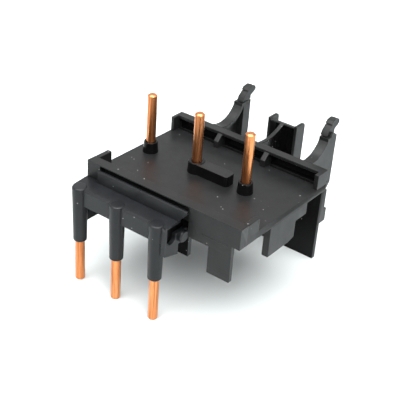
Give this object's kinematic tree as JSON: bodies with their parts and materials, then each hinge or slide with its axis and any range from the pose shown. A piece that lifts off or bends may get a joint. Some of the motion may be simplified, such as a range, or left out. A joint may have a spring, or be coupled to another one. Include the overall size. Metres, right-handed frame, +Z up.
{
  "type": "breaker to contactor link module",
  "caption": "Black plastic plug-in link module: a flat deck with upright copper pins, capped sleeves with hanging pins in front, and hooked latch arms behind.",
  "frame": {"origin": "centre of the bounding box's bottom, on the plane of the load pins' ends and the rear wall's foot", "axes": "+X across the module to the right, +Y from the load pins back to the latch arms, +Z up along the line pins"},
  "size_m": [0.0432, 0.0548, 0.0415],
  "materials": {
    "body_plastic": "satin, finely textured polyamide",
    "cover_plastic": "satin polyamide, a little lighter",
    "copper": "bare drawn copper"
  },
  "bodies": {
    "module": {"arm_bracket_left": "body_plastic", "arm_bracket_right": "body_plastic", "centre_post": "body_plastic", "conductor_left": "copper", "conductor_middle": "copper", "conductor_right": "copper", "conductor_tray": "cover_plastic", "front_housing": "cover_plastic", "front_wall": "body_plastic", "key_pad": "body_plastic", "locating_tab": "body_plastic", "pin_collar_left": "body_plastic", "pin_collar_middle": "body_plastic", "pin_collar_right": "body_plastic", "pin_sleeve_left": "cover_plastic", "pin_sleeve_middle": "cover_plastic", "pin_sleeve_right": "cover_plastic", "post_gusset": "body_plastic", "rear_rail": "body_plastic", "rear_wall": "body_plastic", "side_skirt_left": "body_plastic", "side_skirt_right": "body_plastic", "snap_peg": "cover_plastic", "terminal_deck": "body_plastic", "wall_return_left": "body_plastic", "wall_return_right": "body_plastic"},
    "left_latch": {"latch_left": "body_plastic"},
    "right_latch": {"latch_right": "body_plastic"}
  },
  "joints": [
    {"name": "left_latch_flex", "type": "hinge", "parent": "module", "child": "left_latch", "pos_m": [-0.01025, 0.02445, 0.0332], "axis": [-1, 0, 0], "range_deg": [0, 10], "stiffness_Nm_per_rad": 0.01},
    {"name": "right_latch_flex", "type": "hinge", "parent": "module", "child": "right_latch", "pos_m": [0.01575, 0.02204, 0.0338], "axis": [-1, 0, 0], "range_deg": [0, 10], "stiffness_Nm_per_rad": 0.01}
  ]
}
